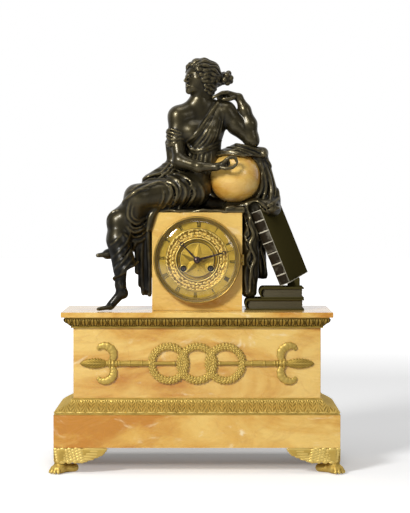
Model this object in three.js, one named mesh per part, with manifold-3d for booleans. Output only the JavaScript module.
// A table clock: a draped bronze figure leans on a marble globe and sits on a marble case that
// holds a striking pendulum movement, on a footed marble base with gilt mounts.
// Millimetres, +Z up. The dial faces -Y and the origin is under the middle of the base.
import * as THREE from "three";
import { mergeVertices } from "three/addons/utils/BufferGeometryUtils.js";
import Module from "manifold-3d";

const wasm = await Module();
wasm.setup();

// Fits
const BED = 0.2; // bedding joint between stacked pieces
const CLEAR = 0.35; // gap round a piece that is shaped to its neighbour
const RUN = 0.3; // radial clearance of bolts, studs and pipes
const PIVOT_RUN = 0.1; // radial running clearance of pivots and hinge pins

// Marble base
const FOOT_HEIGHT = 38;
const PLINTH_HEIGHT = 47.5;
const PLINTH_LEDGE = 27; // plinth beyond the block, at the front and the sides
const BLOCK_WIDTH = 360;
const BLOCK_DEPTH = 139;
const BLOCK_HEIGHT = 139.5;
const BLOCK_WALL = 22;
const SLAB_HEIGHT = 7.6;
const SLAB_OVERHANG = 17; // top slab beyond the block, at the front and the sides
const CORNICE_HEIGHT = 15.5;
const CORNICE_INSET = 2; // cornice lip behind the slab's edge
const MOULDING_HEIGHT = 21;
const MOULDING_INSET = 1; // plinth moulding behind the plinth's edge

// Marble case
const CASE_WIDTH = 132.5;
const CASE_DEPTH = 103;
const CASE_HEIGHT = 143.6;
const CASE_SETBACK = 50; // case front behind the slab's front edge
const CASE_FRONT_WALL = 16;
const CASE_WALL = 14;
const REAR_BORE = 44;

// Feet
const PAW_OUT = 6; // paw beyond the plinth's corner
const WING_LENGTH = 64;
const WING_THICKNESS = 7;
const STUD_RADIUS = 4;
const STUD_LENGTH = 16;

// Frieze mounts on the block's front
const WREATH_RADIUS = 24.7; // to the middle of the garland
const WREATH_TUBE = 4.7;
const WREATH_SPACING = 41.3;
const FRIEZE_DROP = 67.5; // frieze axis below the block's top
const TORCH_INNER = 32; // torch end from the middle of the frieze
const FRIEZE_MARGIN = 9; // torch tip from the block's end
const TORCH_RADIUS = 4.4;
const LEAF_LENGTH = 40;
const LEAF_RADIUS = 6.3;

// Tie bolts through the base into the case
const BOLT_RADIUS = 3;
const BOLT_HEAD_RADIUS = 8;
const BOLT_HEAD_HEIGHT = 5;
const BOLT_BITE = 30; // length in the case's side walls
const BOLT_SPACING = 118.5;

// Dial, bezel and hands
const ROUND = 28; // facets of the dial's rings
const DIAL_RAISE = 2.4; // dial's centre above the middle of the case
const BEZEL_RADIUS = 64.2;
const BEZEL_DEPTH = 12;
const BEZEL_WIDTH = 6.2;
const GLASS_RISE = 9;
const GLASS_THICKNESS = 2;
const SEAT_FLANGE = 4; // flange in front of the marble
const SEAT_LEDGE = 1.5; // ledge that carries the dial's edge
const SEAT_WALL = 2.2;
const STRAP_WIDTH = 12;
const STRAP_THICKNESS = 2.5;
const DIAL_MARGIN = 0.5; // dial inside the bezel, and chapter ring inside the dial
const DIAL_THICKNESS = 1.2;
const CHAPTER_SHARE = 0.8; // chapter ring's inner radius, as a share of the dial's radius
const GARLAND_SHARE = 0.53; // garland's inner radius
const STAR_SHARE = 0.452; // star's points
const GARLAND_HEIGHT = 2.6;
const STAR_HEIGHT = 1;
const WINDING_X = 20; // winding squares from the dial's centre
const WINDING_DROP = 13;
const WINDING_HOLE = 4.4;
const HOUR_HAND_SHARE = 0.73; // hand lengths as shares of the dial's radius
const MINUTE_HAND_SHARE = 0.957;
const HAND_THICKNESS = 0.8;
const HOUR_HAND_ANGLE = -44; // degrees clockwise from twelve
const MINUTE_HAND_ANGLE = 75;
const KNUCKLE_RADIUS = 2.2;
const KNUCKLE_LENGTH = 5;
const HINGE_PIN_RADIUS = 1.1;
const HINGE_OUT = 2.6; // hinge axis beyond the bezel's rim

// Movement
const PLATE_RADIUS = 43;
const PLATE_THICKNESS = 2.5;
const PLATE_SPACING = 38; // between the plates
const DIAL_GAP = 8; // dial to front plate
const PILLAR_RADIUS = 3;
const ARBOR_RADIUS = 1.2;
const MIDDLE_ARBOR_RADIUS = 0.8;
const FINE_ARBOR_RADIUS = 0.5;
const PIVOT_SHARE = 0.7; // pivot radius as a share of its arbor's
const WHEEL_THICKNESS = 1.4;
const PINION_LENGTH = 4;
const DRUM_RADIUS = 15.5;
const DRUM_LENGTH = 23;
const WINDING_RADIUS = 2.1;
const PENDULUM_CLEAR = 2.8; // rod's end above the slab
const PENDULUM_DROP = 5; // pendulum's pivot below the back plate's top edge
const BOB_RADIUS = 10.5;
const BOB_THICKNESS = 6;
const ROD_RADIUS = 1.2;
const BELL_RADIUS = 29;
const BELL_DEPTH = 17;
const BELL_WALL = 1.6;

// Wheel teeth, pinion leaves and modules
const GREAT_TEETH = 56;
const INTERMEDIATE_LEAVES = 8;
const GREAT_MODULE = 0.67;
const INTERMEDIATE_TEETH = 54;
const CENTRE_LEAVES = 9;
const INTERMEDIATE_MODULE = 0.44;
const CENTRE_TEETH = 72;
const THIRD_LEAVES = 6;
const THIRD_TEETH = 66;
const ESCAPE_LEAVES = 6;
const TRAIN_MODULE = 0.3;
const ESCAPE_TEETH = 44;
const ESCAPE_RADIUS = 9;
const CANNON_LEAVES = 12;
const MINUTE_TEETH = 36;
const MINUTE_LEAVES = 10;
const HOUR_TEETH = 40;
const MOTION_MODULE = 0.5;
const COUNT_TEETH = 48;
const PIN_LEAVES = 8;
const PIN_TEETH = 42;
const WARNING_LEAVES = 7;
const WARNING_TEETH = 36;
const FLY_LEAVES = 6;
const STRIKE_MODULE = 0.4;
const STRIKE_LIFTING_PINS = 6;

// Figure, globe and books
const GLOBE_RADIUS = 38.5;
const GLOBE_X = 55.5;
const GLOBE_Y = 8;
const GLOBE_RISE = 52.5; // globe's centre above the case
const BOOK_LENGTH = 116;
const BOOK_WIDTH = 76;
const BOOK_THICKNESS = 17;
const BOOK_LEAN = 22; // degrees
const BOOK_TURN = 25.5;
const BOOK_BANDS = 6;
const STACK_THICKNESS = 16.6;
const LOWER_BOOK_LENGTH = 86;
const UPPER_BOOK_LENGTH = 65;
const STACK_DEPTH = 62;
const FIGURE_HEIGHT = 228; // crown of the head above the case
const FIGURE_CELL = 11; // facet size of the cast surfaces
const LIMB_CELL = 6.5;
const HEAD_CELL = 6.5;

// Places that follow from the sizes above
const plinthWidth = BLOCK_WIDTH + 2 * PLINTH_LEDGE;
const plinthDepth = BLOCK_DEPTH + PLINTH_LEDGE;
const plinthFront = -plinthDepth / 2;
const backY = plinthDepth / 2;
const blockFront = backY - BLOCK_DEPTH;
const slabWidth = BLOCK_WIDTH + 2 * SLAB_OVERHANG;
const slabFront = blockFront - SLAB_OVERHANG;
const plinthZ = FOOT_HEIGHT + BED;
const plinthTop = plinthZ + PLINTH_HEIGHT;
const blockZ = plinthTop + BED;
const blockTop = blockZ + BLOCK_HEIGHT;
const slabZ = blockTop + BED;
const slabTop = slabZ + SLAB_HEIGHT;
const caseZ = slabTop + BED;
const caseTop = caseZ + CASE_HEIGHT;
const caseFront = slabFront + CASE_SETBACK;
const caseBack = caseFront + CASE_DEPTH;
const dialZ = caseZ + CASE_HEIGHT / 2 + DIAL_RAISE;
const dialRadius = BEZEL_RADIUS - BEZEL_WIDTH - DIAL_MARGIN;
const sleeveRadius = dialRadius - SEAT_LEDGE;
const chapterInner = CHAPTER_SHARE * dialRadius;
const garlandInner = GARLAND_SHARE * dialRadius;
const starRadius = STAR_SHARE * dialRadius;
const unit = FIGURE_HEIGHT / 228; // the figure's own millimetre

// Finishes
const finish = (color, roughness, metalness) =>
  new THREE.MeshStandardMaterial({ color, roughness, metalness });
const marble = finish(0xe0b056, 0.3, 0);
const gilt = finish(0xb98d2c, 0.35, 1);
const bronze = finish(0x2a2418, 0.3, 1);
const brass = finish(0xb59a4a, 0.3, 1);
const steel = finish(0x8a8a8c, 0.3, 1);
const bluedSteel = finish(0x15161c, 0.3, 1);
const bellMetal = finish(0xa8a08c, 0.25, 1);
const glass =
  new THREE.MeshStandardMaterial({ color: 0xffffff, roughness: 0.05, transparent: true, opacity: 0.2 });

// Solids: joins and cuts on closed meshes
function solid(geometry) {
  const bare = new THREE.BufferGeometry();
  const source = geometry.index ? geometry.toNonIndexed() : geometry;
  bare.setAttribute("position", source.getAttribute("position").clone());
  const merged = geometry.userData.closed ? geometry : mergeVertices(bare, 1e-4);
  const build = (triVerts) =>
    new wasm.Manifold(new wasm.Mesh({ numProp: 3, vertProperties: merged.attributes.position.array,
      triVerts }));
  const triangles = new Uint32Array(merged.index.array);
  const made = build(triangles);
  if (made.volume() > 0) return made;
  for (let i = 0; i < triangles.length; i += 3) {
    [triangles[i + 1], triangles[i + 2]] = [triangles[i + 2], triangles[i + 1]];
  }
  return build(triangles);
}

function geometryOf(body) {
  const mesh = body.getMesh();
  const geometry = new THREE.BufferGeometry();
  const places = new Float32Array(mesh.numVert * 3);
  for (let i = 0; i < mesh.numVert; i++) {
    for (let k = 0; k < 3; k++) places[3 * i + k] = mesh.vertProperties[i * mesh.numProp + k];
  }
  geometry.setAttribute("position", new THREE.BufferAttribute(places, 3));
  geometry.setIndex(new THREE.BufferAttribute(new Uint32Array(mesh.triVerts), 1));
  return geometry;
}

const join = (...pieces) => geometryOf(pieces.map(solid).reduce((a, b) => a.add(b)));
const cut = (piece, ...tools) => geometryOf(tools.map(solid).reduce((a, b) => a.subtract(b), solid(piece)));
const common = (piece, other) => geometryOf(solid(piece).intersect(solid(other)));
// The largest body of a shape that cutting has split
function mainBody(geometry) {
  const bodies = solid(geometry).decompose();
  return geometryOf(bodies.reduce((a, b) => (b.volume() > a.volume() ? b : a)));
}

// Primitive pieces
function box(x0, x1, y0, y1, z0, z1) {
  const made = new THREE.BoxGeometry(x1 - x0, y1 - y0, z1 - z0);
  return made.translate((x0 + x1) / 2, (y0 + y1) / 2, (z0 + z1) / 2);
}
// Round bar along Y at (x, z), from y0 to y1
function barY(radius, x, z, y0, y1, sides = 10, endRadius = radius) {
  return new THREE.CylinderGeometry(endRadius, radius, y1 - y0, sides).translate(x, (y0 + y1) / 2, z);
}
function barZ(radius, x, y, z0, z1, sides = 10, topRadius = radius) {
  const made = new THREE.CylinderGeometry(topRadius, radius, z1 - z0, sides).rotateX(Math.PI / 2);
  return made.translate(x, y, (z0 + z1) / 2);
}
// Body of revolution about the dial's axis, from [radius, y] points
function turned(points, sides = ROUND, x = 0, z = dialZ) {
  const profile = points.map(([radius, y]) => new THREE.Vector2(radius, y));
  return new THREE.LatheGeometry(profile, sides).translate(x, 0, z);
}
const ring = (inner, outer, y0, y1, sides = ROUND) =>
  turned([[inner, y0], [outer, y0], [outer, y1], [inner, y1], [inner, y0]], sides);
// Flat piece of an outline in the dial's plane, from y0 to y1
function plate(shape, y0, y1, x = 0, z = dialZ, curveSegments = 6) {
  const made = new THREE.ExtrudeGeometry(shape, { depth: y1 - y0, bevelEnabled: false, curveSegments });
  return made.rotateX(Math.PI / 2).translate(x, y1, z);
}
function outline(points) {
  return new THREE.Shape(points.map(([x, y]) => new THREE.Vector2(x, y)));
}
// Skin over sections that have the same number of points, closed at both ends
function loft(sections) {
  const count = sections[0].length;
  const places = sections.flat(2);
  const triangles = [];
  for (let s = 0; s + 1 < sections.length; s++) {
    for (let i = 0; i < count; i++) {
      const a = s * count + i;
      const b = s * count + ((i + 1) % count);
      triangles.push(a, b, b + count, a, b + count, a + count);
    }
  }
  return { places, triangles, count };
}
function loftAlong(profile, stations) {
  const made = loft(stations.map((place) => profile.map((point) => place(point))));
  const caps = THREE.ShapeUtils.triangulateShape(profile.map(([x, y]) => new THREE.Vector2(x, y)), []);
  const last = (stations.length - 1) * made.count;
  for (const [a, b, c] of caps) made.triangles.push(c, b, a, last + a, last + b, last + c);
  const geometry = new THREE.BufferGeometry();
  geometry.setAttribute("position", new THREE.Float32BufferAttribute(made.places, 3));
  return geometry.setIndex(made.triangles);
}

const clock = new THREE.Group();
function add(name, geometry, material) {
  const mesh = new THREE.Mesh(geometryOf(solid(geometry)), material.clone());
  mesh.name = name;
  clock.add(mesh);
  return mesh;
}

// Marble base with its tie-bolt and foot-stud holes
const boltX = [-BOLT_SPACING / 2, BOLT_SPACING / 2];
const boltY = (caseFront + caseBack) / 2;
const boltHole = (x) => barZ(BOLT_RADIUS + RUN, x, boltY, FOOT_HEIGHT / 2, caseZ + BOLT_BITE + CLEAR, 8);
const pawX = plinthWidth / 2 - 10;
const pawY = plinthDepth / 2 - 10;
const corners =
  [["front_left", -1, -1], ["front_right", 1, -1], ["rear_left", -1, 1], ["rear_right", 1, 1]];
const studHoles = corners.map(([, sx, sy]) =>
  barZ(STUD_RADIUS + RUN, sx * pawX, sy * pawY, FOOT_HEIGHT / 2, plinthZ + STUD_LENGTH + CLEAR, 8));
const boltHoles = boltX.map(boltHole);
const plinthBlank = box(-plinthWidth / 2, plinthWidth / 2, plinthFront, backY, plinthZ, plinthTop);
add("lower_plinth", cut(plinthBlank, ...boltHoles, ...studHoles), marble);
const blockBlank = box(-BLOCK_WIDTH / 2, BLOCK_WIDTH / 2, blockFront, backY, blockZ, blockTop);
const blockHollow =
  box(-BLOCK_WIDTH / 2 + BLOCK_WALL, BLOCK_WIDTH / 2 - BLOCK_WALL, blockFront + BLOCK_WALL,
    backY - BLOCK_WALL,
  blockZ - 1, blockTop - BLOCK_WALL);
add("base_block", cut(blockBlank, blockHollow, ...boltHoles), marble);
const slabBlank = box(-slabWidth / 2, slabWidth / 2, slabFront, backY, slabZ, slabTop);
add("top_slab", cut(slabBlank, ...boltHoles), marble);

// Gilt mouldings: a profile of [out, up] points carried round the front and the sides
function moulding(profile, baseZ) {
  const halfBlock = BLOCK_WIDTH / 2 + BED;
  const front = blockFront - BED;
  return loftAlong(profile, [
    ([out, up]) => [-halfBlock - out, backY, baseZ + up],
    ([out, up]) => [-halfBlock - out, front - out, baseZ + up],
    ([out, up]) => [halfBlock + out, front - out, baseZ + up],
    ([out, up]) => [halfBlock + out, backY, baseZ + up],
  ]);
}
// A moulding's ogee between two fillets: share of the reach and of the height at each point
function ogee(reach, height, lowFillet, highFillet, foot, lip) {
  const points = [[0, 0], [foot, 0], [foot, lowFillet]];
  const steps = 6;
  for (let i = 0; i <= steps; i++) {
    const t = i / steps;
    const bend = t - 0.13 * Math.sin(2 * Math.PI * t);
    points.push([foot + (lip - foot) * bend, lowFillet + (height - lowFillet - highFillet) * t]);
  }
  return [...points.filter(([x, y], i) => i !== 3), [lip, height], [0, height]].map(([x, y]) => [
    Math.min(x, reach),
    y,
  ]);
}
const mouldingReach = PLINTH_LEDGE - MOULDING_INSET - BED;
const corniceReach = SLAB_OVERHANG - CORNICE_INSET - BED;
const MOULDING_LIP = 3;
const FILLET = 3.2;
add("plinth_moulding",
  moulding(ogee(mouldingReach, MOULDING_HEIGHT, FILLET, FILLET, mouldingReach, MOULDING_LIP),
    plinthTop + BED), gilt);
add("cornice_moulding",
  moulding(ogee(corniceReach, CORNICE_HEIGHT, FILLET, FILLET, MOULDING_LIP, corniceReach),
    blockTop - CORNICE_HEIGHT), gilt);

// Paw feet with a wing along the front and one along the side, and a stud up into the plinth
function foot(sx, sy) {
  const cornerX = plinthWidth / 2;
  const cornerY = plinthDepth / 2;
  const pawRadius = 13;
  const pawHeight = 8;
  const centreX = cornerX + PAW_OUT - pawRadius;
  const centreY = cornerY + PAW_OUT - pawRadius;
  const ball = (radius, squash, x, y, z) =>
    new THREE.SphereGeometry(radius, 8, 5).rotateX(Math.PI / 2).scale(1, 1, squash).translate(x, y, z);
  const wing = new THREE.Shape();
  wing.moveTo(0, FOOT_HEIGHT);
  wing.lineTo(WING_LENGTH, FOOT_HEIGHT);
  wing.quadraticCurveTo(0.75 * WING_LENGTH, 0.68 * FOOT_HEIGHT, 0.55 * WING_LENGTH, 0.62 * FOOT_HEIGHT);
  wing.quadraticCurveTo(0.3 * WING_LENGTH, 0.36 * FOOT_HEIGHT, 0, 0.4 * FOOT_HEIGHT);
  wing.closePath();
  const wingPlate = () =>
    new THREE.ExtrudeGeometry(wing,
      { depth: WING_THICKNESS, bevelEnabled: false, curveSegments: 4 }).rotateX(Math.PI / 2);
  const frontWing = wingPlate().rotateZ(Math.PI).translate(centreX, cornerY - WING_THICKNESS - 1, 0);
  const sideWing = wingPlate().rotateZ(-Math.PI / 2).translate(cornerX - 1, centreY, 0);
  const ankle = barZ(8, centreX, centreY, pawHeight / 2, FOOT_HEIGHT, 10, 12);
  const stud = barZ(STUD_RADIUS, pawX, pawY, FOOT_HEIGHT - 1, plinthZ + STUD_LENGTH, 8);
  const paw = ball(pawRadius, pawHeight / pawRadius, centreX, centreY, pawHeight * 0.75);
  const joined = join(paw, ankle, frontWing, sideWing, stud);
  const ground = box(0, 2 * cornerX, 0, 2 * cornerY, -2 * pawHeight, 0);
  return cut(joined, ground).scale(sx, sy, 1);
}
for (const [place, sx, sy] of corners) add(`foot_${place}`, foot(sx, sy), gilt);

// Tie bolts, with their heads under the plinth
boltX.forEach((x, i) => {
  const shank = barZ(BOLT_RADIUS, x, boltY, plinthZ - BED - 1, caseZ + BOLT_BITE, 8);
  const head = barZ(BOLT_HEAD_RADIUS, x, boltY, plinthZ - BED - BOLT_HEAD_HEIGHT, plinthZ - BED, 6);
  add(i ? "tie_bolt_right" : "tie_bolt_left", join(shank, head), steel);
});

// Frieze: three linked wreaths and two torches, cut flat where they lie on the block
const friezeZ = blockTop - FRIEZE_DROP;
const friezeFront = blockFront - BED;
const behindFrieze =
  box(-BLOCK_WIDTH, BLOCK_WIDTH, friezeFront, friezeFront + 60, friezeZ - 90, friezeZ + 90);
const wreath = (x) =>
  new THREE.TorusGeometry(WREATH_RADIUS, WREATH_TUBE, 5, 16).rotateX(Math.PI / 2)
    .translate(x, friezeFront - 0.4 * WREATH_TUBE, friezeZ);
const wreaths = join(...[-1, 0, 1].map((i) => wreath(i * WREATH_SPACING)));
const wreathMount = cut(wreaths, behindFrieze);
add("wreath_mount", wreathMount, gilt);
function torch(side) {
  const tip = BLOCK_WIDTH / 2 - FRIEZE_MARGIN;
  const collar = tip - LEAF_LENGTH;
  const profile = [
    [0, TORCH_INNER], [0.45 * TORCH_RADIUS, TORCH_INNER],
    [0.5 * TORCH_RADIUS, WREATH_SPACING + WREATH_RADIUS],
    [TORCH_RADIUS, WREATH_SPACING + WREATH_RADIUS + WREATH_TUBE], [TORCH_RADIUS, collar - 6],
    [1.35 * TORCH_RADIUS, collar - 3], [TORCH_RADIUS, collar], [LEAF_RADIUS, collar + 0.45 * LEAF_LENGTH],
    [0.5 * LEAF_RADIUS, collar + 0.85 * LEAF_LENGTH], [0, tip],
  ].map(([radius, along]) => new THREE.Vector2(radius, along));
  const staff =
    new THREE.LatheGeometry(profile, 8).rotateZ(-Math.PI / 2).translate(0, friezeFront - 1, friezeZ);
  const scroll = new THREE.Shape();
  scroll.moveTo(collar - 9, 0);
  scroll.bezierCurveTo(collar - 16, 6, collar - 14, 26, collar + 4, 29);
  scroll.bezierCurveTo(collar + 13, 28, collar + 13, 21, collar + 6, 20);
  scroll.bezierCurveTo(collar - 4, 19, collar - 2, 8, collar + 4, 0);
  scroll.closePath();
  const leaf = () => plate(scroll, friezeFront - 3.4, friezeFront + 1, 0, friezeZ, 4);
  const lower = leaf().translate(0, 0, -friezeZ).scale(1, 1, -1).translate(0, 0, friezeZ);
  const whole = join(staff, leaf(), lower);
  const passing = new THREE.TorusGeometry(WREATH_RADIUS, WREATH_TUBE + CLEAR, 5, 16).rotateX(Math.PI / 2)
    .translate(WREATH_SPACING, friezeFront - 0.4 * WREATH_TUBE, friezeZ);
  const outer =
    box(WREATH_SPACING + WREATH_RADIUS, tip + 1, -BLOCK_DEPTH, BLOCK_DEPTH, friezeZ - 90, friezeZ + 90);
  return mainBody(common(cut(whole, behindFrieze, passing), outer)).scale(side, 1, 1);
}
add("torch_left", torch(-1), gilt);
add("torch_right", torch(1), gilt);

// Marble case: a bored front, a bored back and a shell of two sides and a top
const halfCase = CASE_WIDTH / 2;
const caseBlank = (y0, y1) => box(-halfCase, halfCase, y0, y1, caseZ, caseTop);
const frontBack = caseFront + CASE_FRONT_WALL;
const rearFront = caseBack - CASE_WALL;
const seatBore = barY(sleeveRadius + CLEAR, 0, dialZ, caseFront - 1, frontBack + 1, ROUND);
const rearBore = barY(REAR_BORE, 0, dialZ, rearFront - 1, caseBack + 1, ROUND);
add("case_front", cut(caseBlank(caseFront, frontBack), seatBore), marble);
add("case_back", cut(caseBlank(rearFront, caseBack), rearBore), marble);
const cavity =
  box(-halfCase + CASE_WALL, halfCase - CASE_WALL, caseFront, caseBack, caseZ - 1, caseTop - CASE_WALL);
add("case_shell", cut(caseBlank(frontBack + BED, rearFront - BED), cavity, ...boltHoles), marble);

// Rear frame with two lugs, and the door whose pintle turns in them
const lugX = REAR_BORE + 4;
const doorY = caseBack + BED;
const doorThickness = 2;
const frameDepth = 3;
const lugZ = (i) => dialZ + (i ? 1 : -1) * KNUCKLE_LENGTH;
const rearRing = turned([
  [REAR_BORE - 3, rearFront], [REAR_BORE - CLEAR, rearFront], [REAR_BORE - CLEAR, doorY],
  [REAR_BORE + 2, doorY],
  [REAR_BORE + 2, doorY + frameDepth], [REAR_BORE - 3, doorY + frameDepth], [REAR_BORE - 3, rearFront],
]);
const lugAxisY = doorY + frameDepth + doorThickness;
const lug = (i) => {
  const z = lugZ(i);
  const block =
    box(-lugX - 2, -REAR_BORE + 1, doorY, lugAxisY, z - KNUCKLE_LENGTH / 2, z + KNUCKLE_LENGTH / 2);
  const eye =
    barZ(KNUCKLE_RADIUS + 0.6, -lugX, lugAxisY, z - KNUCKLE_LENGTH / 2, z + KNUCKLE_LENGTH / 2, 10);
  return cut(join(block, eye), barZ(HINGE_PIN_RADIUS + PIVOT_RUN, -lugX, lugAxisY, z - 9, z + 9, 10));
};
add("rear_frame", join(rearRing, lug(0), lug(1)), brass);
const doorFront = doorY + frameDepth + CLEAR;
const doorDisc = barY(REAR_BORE + 1, 0, dialZ, doorFront, doorFront + doorThickness, ROUND);
const doorEye = barZ(KNUCKLE_RADIUS, -lugX, lugAxisY, dialZ - KNUCKLE_LENGTH / 2 + CLEAR,
  dialZ + KNUCKLE_LENGTH / 2 - CLEAR, 10);
const doorArm = box(-lugX, -REAR_BORE + 3, doorFront, doorFront + doorThickness,
  dialZ - KNUCKLE_LENGTH / 2 + CLEAR, dialZ + KNUCKLE_LENGTH / 2 - CLEAR);
const pintle =
  barZ(HINGE_PIN_RADIUS, -lugX, lugAxisY, lugZ(0) - KNUCKLE_LENGTH / 2, lugZ(1) + KNUCKLE_LENGTH / 2, 10);
const lugRoom = (i) => box(-lugX - 5, -REAR_BORE + 2, doorY, lugAxisY + 6,
  lugZ(i) - KNUCKLE_LENGTH / 2 - CLEAR, lugZ(i) + KNUCKLE_LENGTH / 2 + CLEAR);
const doorKnob = barY(2.5, REAR_BORE - 8, dialZ, doorFront + 1, doorFront + doorThickness + 2.5, 10, 3.5);
add("rear_door", join(cut(doorDisc, lugRoom(0), lugRoom(1)), doorEye, doorArm, pintle, doorKnob), brass);

// Dial seat: a flange on the marble, a sleeve in the bore, two hinge knuckles and two straps to the rear
const seatFront = caseFront - SEAT_FLANGE;
const hingeX = BEZEL_RADIUS + HINGE_OUT;
const hingeY = seatFront - 2;
const sleeveInner = sleeveRadius - SEAT_WALL;
const seatLedge = caseFront - 2.4;
const seatRing = turned([
  [sleeveInner, seatLedge], [dialRadius + CLEAR, seatLedge], [dialRadius + CLEAR, seatFront],
  [BEZEL_RADIUS - 0.5, seatFront],
  [BEZEL_RADIUS - 0.5, caseFront - BED], [sleeveRadius, caseFront - BED], [sleeveRadius, frontBack - 2],
  [sleeveInner, frontBack - 2], [sleeveInner, seatLedge],
]);
const strapInset = halfCase - CASE_WALL - CLEAR;
const seatKnuckle = (i) => {
  const z = dialZ + (i ? 1 : -1) * (KNUCKLE_LENGTH + CLEAR);
  const leaf =
    box(BEZEL_RADIUS - 3, hingeX, seatFront + CLEAR, caseFront - BED, z - KNUCKLE_LENGTH / 2,
      z + KNUCKLE_LENGTH / 2);
  const link = box(hingeX - KNUCKLE_RADIUS * 0.7, hingeX + KNUCKLE_RADIUS * 0.7, hingeY, caseFront - BED,
    z - KNUCKLE_LENGTH / 2, z + KNUCKLE_LENGTH / 2);
  const barrel = barZ(KNUCKLE_RADIUS, hingeX, hingeY, z - KNUCKLE_LENGTH / 2, z + KNUCKLE_LENGTH / 2, 10);
  return cut(join(leaf, link, barrel),
    barZ(HINGE_PIN_RADIUS + PIVOT_RUN, hingeX, hingeY, z - 9, z + 9, 10));
};
const strapX = Math.min(sleeveRadius - SEAT_WALL - 1.5, strapInset - STRAP_THICKNESS / 2);
const straps = [-1, 1].map((side) => box(
  side * strapX - STRAP_THICKNESS / 2, side * strapX + STRAP_THICKNESS / 2, caseFront + 4,
  rearFront - CLEAR,
  dialZ - STRAP_WIDTH / 2, dialZ + STRAP_WIDTH / 2));
const strapLugs = [-1, 1].map((side) => box(
  Math.min(side * strapX, side * sleeveRadius * 0.985),
  Math.max(side * strapX, side * sleeveRadius * 0.985),
  caseFront + 4, frontBack - 2, dialZ - STRAP_WIDTH / 2, dialZ + STRAP_WIDTH / 2));
add("dial_seat",
  join(seatRing, seatKnuckle(0), seatKnuckle(1), ...straps, ...strapLugs), brass);

// Bezel ring with the middle knuckle, its domed glass and the hinge pin
const bezelBack = seatFront - CLEAR;
const bezelFront = bezelBack - BEZEL_DEPTH;
const glassRadius = BEZEL_RADIUS - 2;
const bezelInner = BEZEL_RADIUS - BEZEL_WIDTH;
const glassSeat = bezelFront + 3.5;
const bezelRing = turned([
  [bezelInner, bezelBack], [BEZEL_RADIUS, bezelBack], [BEZEL_RADIUS, bezelBack - 3],
  [BEZEL_RADIUS - 0.7, bezelFront + 2],
  [BEZEL_RADIUS - 2, bezelFront], [bezelInner + 1, bezelFront],
  [bezelInner + 1, glassSeat - GLASS_THICKNESS - CLEAR], [glassRadius, glassSeat - GLASS_THICKNESS - CLEAR],
  [glassRadius, glassSeat], [bezelInner, glassSeat], [bezelInner, bezelBack],
]);
const bezelKnuckle = (() => {
  const low = dialZ - KNUCKLE_LENGTH / 2;
  const high = dialZ + KNUCKLE_LENGTH / 2;
  const arm = box(BEZEL_RADIUS - 2, hingeX, hingeY - KNUCKLE_RADIUS * 0.8, bezelBack, low, high);
  const barrel = barZ(KNUCKLE_RADIUS, hingeX, hingeY, low, high, 10);
  return cut(join(arm, barrel), barZ(HINGE_PIN_RADIUS + PIVOT_RUN, hingeX, hingeY, low - 1, high + 1, 10));
})();
const hingeReach = 1.5 * KNUCKLE_LENGTH + CLEAR;
add("bezel", join(bezelRing, bezelKnuckle), gilt);
function dome(radius, base, rise, steps) {
  const points = [];
  for (let i = 0; i <= steps; i++) {
    const t = i / steps;
    points.push([radius * (1 - t), base - rise * Math.sin((t * Math.PI) / 2)]);
  }
  return points;
}
const glassEdge = glassRadius - CLEAR;
const glassBack = glassSeat - CLEAR / 2;
const domeFoot = bezelInner + 1 - CLEAR;
const outerDome = dome(domeFoot, glassBack - GLASS_THICKNESS, GLASS_RISE, 3);
const innerDome = dome(domeFoot - 1, glassBack, GLASS_RISE, 3).reverse();
add("bezel_glass",
  turned([...innerDome, [glassEdge, glassBack], [glassEdge, glassBack - GLASS_THICKNESS],
    ...outerDome]), glass);
add("bezel_hinge_pin",
  barZ(HINGE_PIN_RADIUS, hingeX, hingeY, dialZ - hingeReach, dialZ + hingeReach, 10), steel);

// Dial: a plate with winding holes, a star and feet, then the chapter ring and the garland ring on it
const dialFront = caseFront - 2.6 - DIAL_THICKNESS;
const dialBack = dialFront + DIAL_THICKNESS;
const frontPlateY = caseFront + DIAL_GAP;
const CENTRE_HOLE = 4;
const windingHoles =
  [-WINDING_X, WINDING_X].map((x) =>
    barY(WINDING_HOLE, x, dialZ - WINDING_DROP, dialFront - 4, dialBack + 1, 12));
const centreHole = barY(CENTRE_HOLE, 0, dialZ, dialFront - 4, dialBack + 1, 12);
const starPoints = [];
for (let i = 0; i < 10; i++) {
  const radius = i % 2 ? 0.38 * starRadius : starRadius;
  const angle = (Math.PI * i) / 5 + Math.PI / 2;
  starPoints.push([radius * Math.cos(angle), radius * Math.sin(angle)]);
}
const star = plate(outline(starPoints), dialFront - STAR_HEIGHT, dialFront + 0.4);
const dialFeet = [90, 210, 330].map((degrees) => {
  const angle = THREE.MathUtils.degToRad(degrees);
  const radius = PLATE_RADIUS - 4;
  return barY(1.6, radius * Math.cos(angle), dialZ + radius * Math.sin(angle), dialBack - 0.4,
    frontPlateY - BED, 8);
});
const dialDisc = barY(dialRadius, 0, dialZ, dialFront, dialBack, ROUND);
add("dial_plate", cut(join(dialDisc, star, ...dialFeet), centreHole, ...windingHoles), gilt);
add("chapter_ring", ring(chapterInner, dialRadius - 0.5, dialFront - BED - 1, dialFront - BED), gilt);
add("dial_garland",
  ring(garlandInner, chapterInner - CLEAR, dialFront - BED - GARLAND_HEIGHT, dialFront - BED), gilt);

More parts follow.
